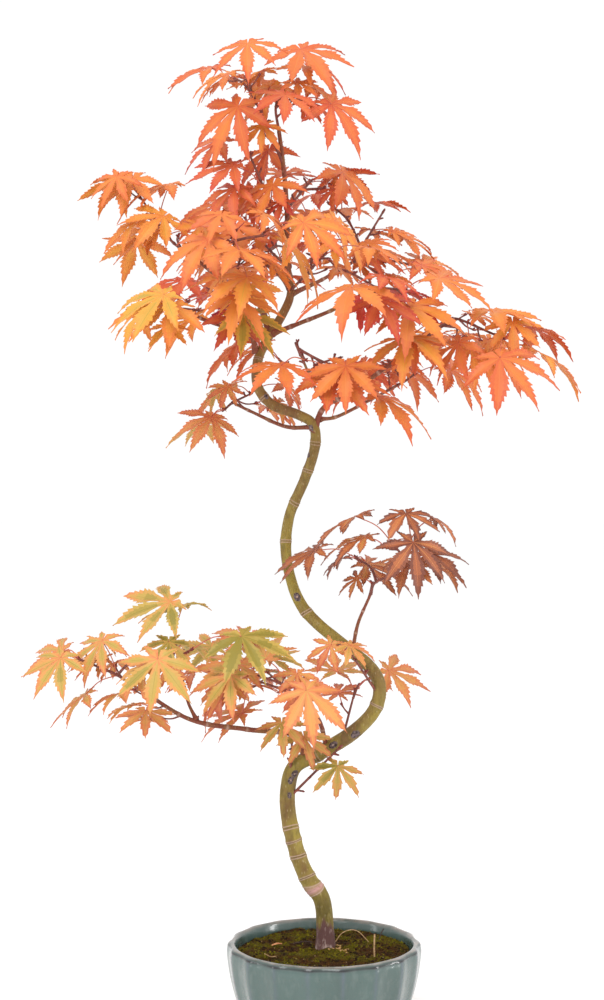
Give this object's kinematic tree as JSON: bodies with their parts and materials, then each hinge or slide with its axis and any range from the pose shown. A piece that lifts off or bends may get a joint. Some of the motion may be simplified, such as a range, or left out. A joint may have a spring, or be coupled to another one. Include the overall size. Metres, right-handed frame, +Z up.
{
  "type": "japanese maple bonsai",
  "caption": "Young Japanese maple bonsai in orange autumn leaf, with a long winding trunk, in a round scalloped celadon-glazed pot.",
  "frame": {"origin": "centre of the pot's flat underside", "axes": "+Z up the tree, -Y towards the front, +X to the right as seen from the front"},
  "size_m": [0.4336, 0.3574, 0.7826],
  "materials": {
    "glaze": "glossy celadon glaze",
    "soil": "rough mossy soil",
    "bark": "smooth olive-brown young bark",
    "flame": "orange-red autumn leaves",
    "gold": "golden-yellow autumn leaves",
    "red": "bright red autumn leaves",
    "amber": "amber autumn leaves",
    "olive": "olive-green leaves just turning",
    "bronze": "bronze-brown leaves"
  },
  "bodies": {
    "root": {"pot": "glaze", "soil": "soil", "trunk_lower": "bark", "trunk_middle": "bark", "trunk_upper": "bark", "trunk_top": "bark", "bough_far_left": "bark", "bough_left_low": "bark", "bough_left_front": "bark", "bough_right_back": "bark", "bough_right_front": "bark", "bough_back": "bark", "bough_fork": "bark", "bough_right_low": "bark", "bough_centre": "bark", "bough_centre_back": "bark", "bough_left_mid": "bark", "bough_right_mid": "bark", "bough_lower_left": "bark", "bough_lower_crest": "bark", "bough_lower_back": "bark", "bough_lower_front": "bark", "leaves_tip_right": "flame", "leaves_tip_left": "gold", "leaves_top_left": "red", "leaves_top_back": "flame", "leaves_far_left": "amber", "leaves_left_low": "olive", "leaves_left_front": "gold", "leaves_left_inner": "red", "leaves_right_back": "flame", "leaves_crown_front": "gold", "leaves_right_front": "red", "leaves_back": "flame", "leaves_right_far": "gold", "leaves_right_low": "flame", "leaves_centre": "flame", "leaves_left_mid": "bronze", "leaves_centre_back": "flame", "leaves_right_mid": "bronze", "leaves_sprig_mid": "bronze", "leaves_lower_left": "olive", "leaves_lower_crest": "olive", "leaves_lower_back": "amber", "leaves_lower_front": "gold", "leaves_lower_right": "amber", "leaves_sprig_left": "bronze", "leaves_sprig_right": "bronze"}
  },
  "joints": []
}
